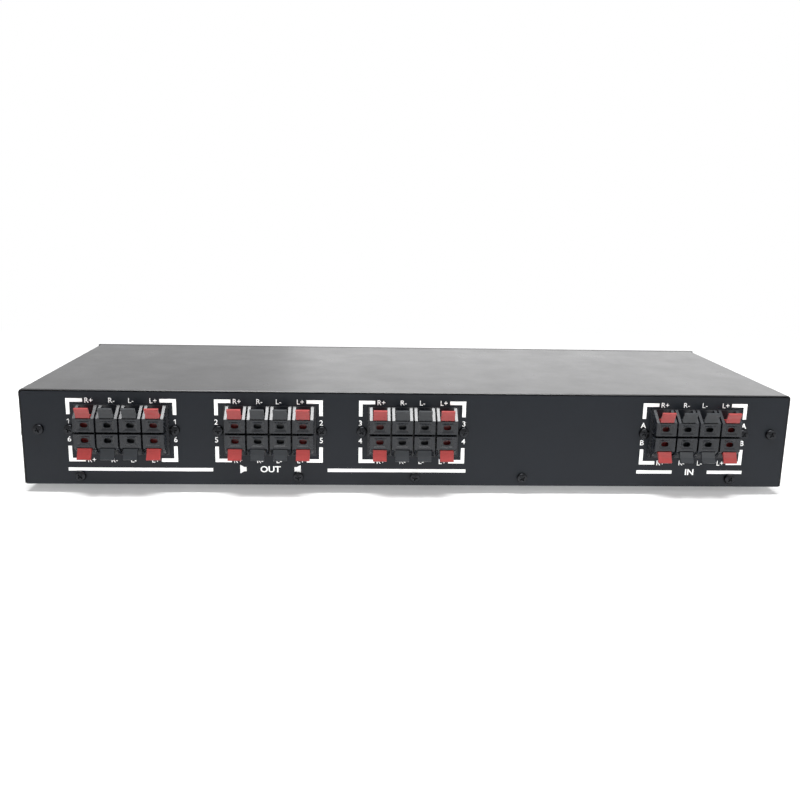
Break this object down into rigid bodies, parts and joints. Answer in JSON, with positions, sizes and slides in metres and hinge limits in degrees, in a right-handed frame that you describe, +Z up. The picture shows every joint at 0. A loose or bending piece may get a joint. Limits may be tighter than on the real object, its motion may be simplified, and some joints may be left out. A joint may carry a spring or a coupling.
{
  "type": "speaker selector switch",
  "caption": "Flat steel speaker selector box: rocking spring-lever wire clamps on the rear, push buttons on the front.",
  "frame": {"origin": "on the table, under the centre of the whole object", "axes": "+X along the rear panel, +Y from the rear panel to the front, +Z up"},
  "size_m": [0.4338, 0.1688, 0.059],
  "materials": {
    "black_paint": "satin black paint",
    "panel_paint": "satin black paint",
    "front_finish": "satin black",
    "plated_steel": "zinc plated",
    "plated_screws": "zinc plated",
    "black_screws": "black oxide",
    "black_moulding": "satin",
    "red_lever": "semi gloss",
    "black_lever": "semi gloss",
    "spring_bronze": "tinned",
    "standoff_brass": "turned",
    "circuit_board": "solder mask",
    "switch_plastic": "moulded",
    "resistor_ceramic": "matte",
    "button_plastic": "satin",
    "foot_rubber": "matte"
  },
  "bodies": {
    "case": {"top_cover": "black_paint", "base_tray": "plated_steel", "rear_panel": "panel_paint", "front_panel": "front_finish", "output_block_left": "black_moulding", "output_block_middle": "black_moulding", "output_block_right": "black_moulding", "input_block": "black_moulding", "contact_springs": "spring_bronze", "terminal_boards": "circuit_board", "terminal_screws": "black_screws", "rear_panel_screws": "black_screws", "cover_screws": "black_screws", "front_panel_screws": "plated_screws", "rubber_feet": "foot_rubber", "switch_board": "circuit_board", "switch_bodies": "switch_plastic", "board_standoffs": "standoff_brass", "board_screws": "plated_screws", "protection_resistors": "resistor_ceramic"},
    "lever_1_right_plus": {"lever_1_right_plus": "red_lever"},
    "lever_1_right_minus": {"lever_1_right_minus": "black_lever"},
    "lever_1_left_minus": {"lever_1_left_minus": "black_lever"},
    "lever_1_left_plus": {"lever_1_left_plus": "red_lever"},
    "lever_6_right_plus": {"lever_6_right_plus": "red_lever"},
    "lever_6_right_minus": {"lever_6_right_minus": "black_lever"},
    "lever_6_left_minus": {"lever_6_left_minus": "black_lever"},
    "lever_6_left_plus": {"lever_6_left_plus": "red_lever"},
    "lever_2_right_plus": {"lever_2_right_plus": "red_lever"},
    "lever_2_right_minus": {"lever_2_right_minus": "black_lever"},
    "lever_2_left_minus": {"lever_2_left_minus": "black_lever"},
    "lever_2_left_plus": {"lever_2_left_plus": "red_lever"},
    "lever_5_right_plus": {"lever_5_right_plus": "red_lever"},
    "lever_5_right_minus": {"lever_5_right_minus": "black_lever"},
    "lever_5_left_minus": {"lever_5_left_minus": "black_lever"},
    "lever_5_left_plus": {"lever_5_left_plus": "red_lever"},
    "lever_3_right_plus": {"lever_3_right_plus": "red_lever"},
    "lever_3_right_minus": {"lever_3_right_minus": "black_lever"},
    "lever_3_left_minus": {"lever_3_left_minus": "black_lever"},
    "lever_3_left_plus": {"lever_3_left_plus": "red_lever"},
    "lever_4_right_plus": {"lever_4_right_plus": "red_lever"},
    "lever_4_right_minus": {"lever_4_right_minus": "black_lever"},
    "lever_4_left_minus": {"lever_4_left_minus": "black_lever"},
    "lever_4_left_plus": {"lever_4_left_plus": "red_lever"},
    "lever_a_right_plus": {"lever_a_right_plus": "red_lever"},
    "lever_a_right_minus": {"lever_a_right_minus": "black_lever"},
    "lever_a_left_minus": {"lever_a_left_minus": "black_lever"},
    "lever_a_left_plus": {"lever_a_left_plus": "red_lever"},
    "lever_b_right_plus": {"lever_b_right_plus": "red_lever"},
    "lever_b_right_minus": {"lever_b_right_minus": "black_lever"},
    "lever_b_left_minus": {"lever_b_left_minus": "black_lever"},
    "lever_b_left_plus": {"lever_b_left_plus": "red_lever"},
    "button_protection": {"button_protection": "button_plastic"},
    "button_1": {"button_1": "button_plastic"},
    "button_2": {"button_2": "button_plastic"},
    "button_3": {"button_3": "button_plastic"},
    "button_4": {"button_4": "button_plastic"},
    "button_5": {"button_5": "button_plastic"},
    "button_6": {"button_6": "button_plastic"},
    "button_input": {"button_input": "button_plastic"}
  },
  "joints": [
    {"name": "lever_1_right_plus_hinge", "type": "hinge", "parent": "case", "child": "lever_1_right_plus", "pos_m": [-0.1786, -0.0782, 0.043], "axis": [-1, 0, 0], "range_deg": [0, 15], "stiffness_Nm_per_rad": 0.06},
    {"name": "lever_1_right_minus_hinge", "type": "hinge", "parent": "case", "child": "lever_1_right_minus", "pos_m": [-0.1662, -0.0782, 0.043], "axis": [-1, 0, 0], "range_deg": [0, 15], "stiffness_Nm_per_rad": 0.06},
    {"name": "lever_1_left_minus_hinge", "type": "hinge", "parent": "case", "child": "lever_1_left_minus", "pos_m": [-0.1538, -0.0782, 0.043], "axis": [-1, 0, 0], "range_deg": [0, 15], "stiffness_Nm_per_rad": 0.06},
    {"name": "lever_1_left_plus_hinge", "type": "hinge", "parent": "case", "child": "lever_1_left_plus", "pos_m": [-0.1414, -0.0782, 0.043], "axis": [-1, 0, 0], "range_deg": [0, 15], "stiffness_Nm_per_rad": 0.06},
    {"name": "lever_6_right_plus_hinge", "type": "hinge", "parent": "case", "child": "lever_6_right_plus", "pos_m": [-0.1786, -0.0782, 0.0298], "axis": [1, 0, 0], "range_deg": [0, 15], "stiffness_Nm_per_rad": 0.06},
    {"name": "lever_6_right_minus_hinge", "type": "hinge", "parent": "case", "child": "lever_6_right_minus", "pos_m": [-0.1662, -0.0782, 0.0298], "axis": [1, 0, 0], "range_deg": [0, 15], "stiffness_Nm_per_rad": 0.06},
    {"name": "lever_6_left_minus_hinge", "type": "hinge", "parent": "case", "child": "lever_6_left_minus", "pos_m": [-0.1538, -0.0782, 0.0298], "axis": [1, 0, 0], "range_deg": [0, 15], "stiffness_Nm_per_rad": 0.06},
    {"name": "lever_6_left_plus_hinge", "type": "hinge", "parent": "case", "child": "lever_6_left_plus", "pos_m": [-0.1414, -0.0782, 0.0298], "axis": [1, 0, 0], "range_deg": [0, 15], "stiffness_Nm_per_rad": 0.06},
    {"name": "lever_2_right_plus_hinge", "type": "hinge", "parent": "case", "child": "lever_2_right_plus", "pos_m": [-0.0975, -0.0782, 0.043], "axis": [-1, 0, 0], "range_deg": [0, 15], "stiffness_Nm_per_rad": 0.06},
    {"name": "lever_2_right_minus_hinge", "type": "hinge", "parent": "case", "child": "lever_2_right_minus", "pos_m": [-0.0851, -0.0782, 0.043], "axis": [-1, 0, 0], "range_deg": [0, 15], "stiffness_Nm_per_rad": 0.06},
    {"name": "lever_2_left_minus_hinge", "type": "hinge", "parent": "case", "child": "lever_2_left_minus", "pos_m": [-0.0727, -0.0782, 0.043], "axis": [-1, 0, 0], "range_deg": [0, 15], "stiffness_Nm_per_rad": 0.06},
    {"name": "lever_2_left_plus_hinge", "type": "hinge", "parent": "case", "child": "lever_2_left_plus", "pos_m": [-0.0603, -0.0782, 0.043], "axis": [-1, 0, 0], "range_deg": [0, 15], "stiffness_Nm_per_rad": 0.06},
    {"name": "lever_5_right_plus_hinge", "type": "hinge", "parent": "case", "child": "lever_5_right_plus", "pos_m": [-0.0975, -0.0782, 0.0298], "axis": [1, 0, 0], "range_deg": [0, 15], "stiffness_Nm_per_rad": 0.06},
    {"name": "lever_5_right_minus_hinge", "type": "hinge", "parent": "case", "child": "lever_5_right_minus", "pos_m": [-0.0851, -0.0782, 0.0298], "axis": [1, 0, 0], "range_deg": [0, 15], "stiffness_Nm_per_rad": 0.06},
    {"name": "lever_5_left_minus_hinge", "type": "hinge", "parent": "case", "child": "lever_5_left_minus", "pos_m": [-0.0727, -0.0782, 0.0298], "axis": [1, 0, 0], "range_deg": [0, 15], "stiffness_Nm_per_rad": 0.06},
    {"name": "lever_5_left_plus_hinge", "type": "hinge", "parent": "case", "child": "lever_5_left_plus", "pos_m": [-0.0603, -0.0782, 0.0298], "axis": [1, 0, 0], "range_deg": [0, 15], "stiffness_Nm_per_rad": 0.06},
    {"name": "lever_3_right_plus_hinge", "type": "hinge", "parent": "case", "child": "lever_3_right_plus", "pos_m": [-0.018, -0.0782, 0.043], "axis": [-1, 0, 0], "range_deg": [0, 15], "stiffness_Nm_per_rad": 0.06},
    {"name": "lever_3_right_minus_hinge", "type": "hinge", "parent": "case", "child": "lever_3_right_minus", "pos_m": [-0.0056, -0.0782, 0.043], "axis": [-1, 0, 0], "range_deg": [0, 15], "stiffness_Nm_per_rad": 0.06},
    {"name": "lever_3_left_minus_hinge", "type": "hinge", "parent": "case", "child": "lever_3_left_minus", "pos_m": [0.0068, -0.0782, 0.043], "axis": [-1, 0, 0], "range_deg": [0, 15], "stiffness_Nm_per_rad": 0.06},
    {"name": "lever_3_left_plus_hinge", "type": "hinge", "parent": "case", "child": "lever_3_left_plus", "pos_m": [0.0192, -0.0782, 0.043], "axis": [-1, 0, 0], "range_deg": [0, 15], "stiffness_Nm_per_rad": 0.06},
    {"name": "lever_4_right_plus_hinge", "type": "hinge", "parent": "case", "child": "lever_4_right_plus", "pos_m": [-0.018, -0.0782, 0.0298], "axis": [1, 0, 0], "range_deg": [0, 15], "stiffness_Nm_per_rad": 0.06},
    {"name": "lever_4_right_minus_hinge", "type": "hinge", "parent": "case", "child": "lever_4_right_minus", "pos_m": [-0.0056, -0.0782, 0.0298], "axis": [1, 0, 0], "range_deg": [0, 15], "stiffness_Nm_per_rad": 0.06},
    {"name": "lever_4_left_minus_hinge", "type": "hinge", "parent": "case", "child": "lever_4_left_minus", "pos_m": [0.0068, -0.0782, 0.0298], "axis": [1, 0, 0], "range_deg": [0, 15], "stiffness_Nm_per_rad": 0.06},
    {"name": "lever_4_left_plus_hinge", "type": "hinge", "parent": "case", "child": "lever_4_left_plus", "pos_m": [0.0192, -0.0782, 0.0298], "axis": [1, 0, 0], "range_deg": [0, 15], "stiffness_Nm_per_rad": 0.06},
    {"name": "lever_a_right_plus_hinge", "type": "hinge", "parent": "case", "child": "lever_a_right_plus", "pos_m": [0.142, -0.0782, 0.043], "axis": [-1, 0, 0], "range_deg": [0, 15], "stiffness_Nm_per_rad": 0.06},
    {"name": "lever_a_right_minus_hinge", "type": "hinge", "parent": "case", "child": "lever_a_right_minus", "pos_m": [0.1544, -0.0782, 0.043], "axis": [-1, 0, 0], "range_deg": [0, 15], "stiffness_Nm_per_rad": 0.06},
    {"name": "lever_a_left_minus_hinge", "type": "hinge", "parent": "case", "child": "lever_a_left_minus", "pos_m": [0.1668, -0.0782, 0.043], "axis": [-1, 0, 0], "range_deg": [0, 15], "stiffness_Nm_per_rad": 0.06},
    {"name": "lever_a_left_plus_hinge", "type": "hinge", "parent": "case", "child": "lever_a_left_plus", "pos_m": [0.1792, -0.0782, 0.043], "axis": [-1, 0, 0], "range_deg": [0, 15], "stiffness_Nm_per_rad": 0.06},
    {"name": "lever_b_right_plus_hinge", "type": "hinge", "parent": "case", "child": "lever_b_right_plus", "pos_m": [0.142, -0.0782, 0.0298], "axis": [1, 0, 0], "range_deg": [0, 15], "stiffness_Nm_per_rad": 0.06},
    {"name": "lever_b_right_minus_hinge", "type": "hinge", "parent": "case", "child": "lever_b_right_minus", "pos_m": [0.1544, -0.0782, 0.0298], "axis": [1, 0, 0], "range_deg": [0, 15], "stiffness_Nm_per_rad": 0.06},
    {"name": "lever_b_left_minus_hinge", "type": "hinge", "parent": "case", "child": "lever_b_left_minus", "pos_m": [0.1668, -0.0782, 0.0298], "axis": [1, 0, 0], "range_deg": [0, 15], "stiffness_Nm_per_rad": 0.06},
    {"name": "lever_b_left_plus_hinge", "type": "hinge", "parent": "case", "child": "lever_b_left_plus", "pos_m": [0.1792, -0.0782, 0.0298], "axis": [1, 0, 0], "range_deg": [0, 15], "stiffness_Nm_per_rad": 0.06},
    {"name": "button_protection_press", "type": "slide", "parent": "case", "child": "button_protection", "axis": [0, -1, 0], "range_m": [0, 0.0035], "stiffness_N_per_m": 800},
    {"name": "button_1_press", "type": "slide", "parent": "case", "child": "button_1", "axis": [0, -1, 0], "range_m": [0, 0.0035], "stiffness_N_per_m": 800},
    {"name": "button_2_press", "type": "slide", "parent": "case", "child": "button_2", "axis": [0, -1, 0], "range_m": [0, 0.0035], "stiffness_N_per_m": 800},
    {"name": "button_3_press", "type": "slide", "parent": "case", "child": "button_3", "axis": [0, -1, 0], "range_m": [0, 0.0035], "stiffness_N_per_m": 800},
    {"name": "button_4_press", "type": "slide", "parent": "case", "child": "button_4", "axis": [0, -1, 0], "range_m": [0, 0.0035], "stiffness_N_per_m": 800},
    {"name": "button_5_press", "type": "slide", "parent": "case", "child": "button_5", "axis": [0, -1, 0], "range_m": [0, 0.0035], "stiffness_N_per_m": 800},
    {"name": "button_6_press", "type": "slide", "parent": "case", "child": "button_6", "axis": [0, -1, 0], "range_m": [0, 0.0035], "stiffness_N_per_m": 800},
    {"name": "button_input_press", "type": "slide", "parent": "case", "child": "button_input", "axis": [0, -1, 0], "range_m": [0, 0.0035], "stiffness_N_per_m": 800}
  ]
}
